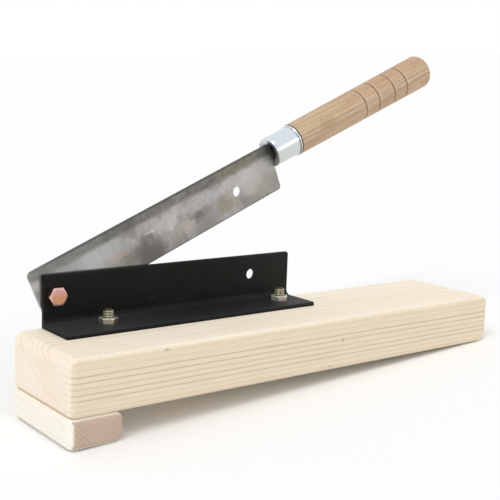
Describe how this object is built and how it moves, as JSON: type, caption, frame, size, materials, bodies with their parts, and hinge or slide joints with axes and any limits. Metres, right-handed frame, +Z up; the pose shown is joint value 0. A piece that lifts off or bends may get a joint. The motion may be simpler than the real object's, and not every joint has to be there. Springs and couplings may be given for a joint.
{
  "type": "lever cutter",
  "caption": "Hand lever cutter: a hinged steel knife with a wooden handle shears down along a steel angle bolted to a sloping pine board on a foot block.",
  "frame": {"origin": "on the floor plane that the cutter stands on, under the middle of its bounding box, with the knife resting part open", "axes": "+X along the board from the pivot end to the handle end, +Y from the operator's side to the blade's side, +Z up from the floor"},
  "size_m": [0.424, 0.1036, 0.2528],
  "materials": {
    "board_wood": "planed pale pine, unfinished, soft straight growth lines",
    "foot_wood": "planed pale pine offcut, end grain to the front",
    "handle_wood": "turned light oak, sanded, unfinished",
    "black_angle": "matt black over rolled steel",
    "blade_steel": "ground tool steel, mottled grey with darker forging skin along the spine",
    "ferrule_plating": "bright zinc plating",
    "pivot_plating": "copper-pink chromate on steel",
    "fastener_plating": "yellow-green chromate on steel",
    "plain_steel": "bright zinc plated"
  },
  "bodies": {
    "base": {"board": "board_wood", "foot_block": "foot_wood", "angle_bracket": "black_angle", "foot_screw_front": "plain_steel", "foot_screw_rear": "plain_steel", "hold_down_bolt_pivot_end": "fastener_plating", "hold_down_washer_pivot_end": "fastener_plating", "hold_down_nut_pivot_end": "fastener_plating", "hold_down_bolt_handle_end": "fastener_plating", "hold_down_washer_handle_end": "fastener_plating", "hold_down_nut_handle_end": "fastener_plating", "pivot_bolt": "pivot_plating", "pivot_washer": "pivot_plating", "pivot_spring_washer": "pivot_plating", "pivot_nut": "pivot_plating"},
    "knife": {"blade": "blade_steel", "ferrule": "ferrule_plating", "handle": "handle_wood"}
  },
  "joints": [
    {"name": "knife_hinge", "type": "hinge", "parent": "base", "child": "knife", "pos_m": [-0.17499, 0.03665, 0.08684], "axis": [0, -1, 0], "range_deg": [-24.6, 109]}
  ]
}
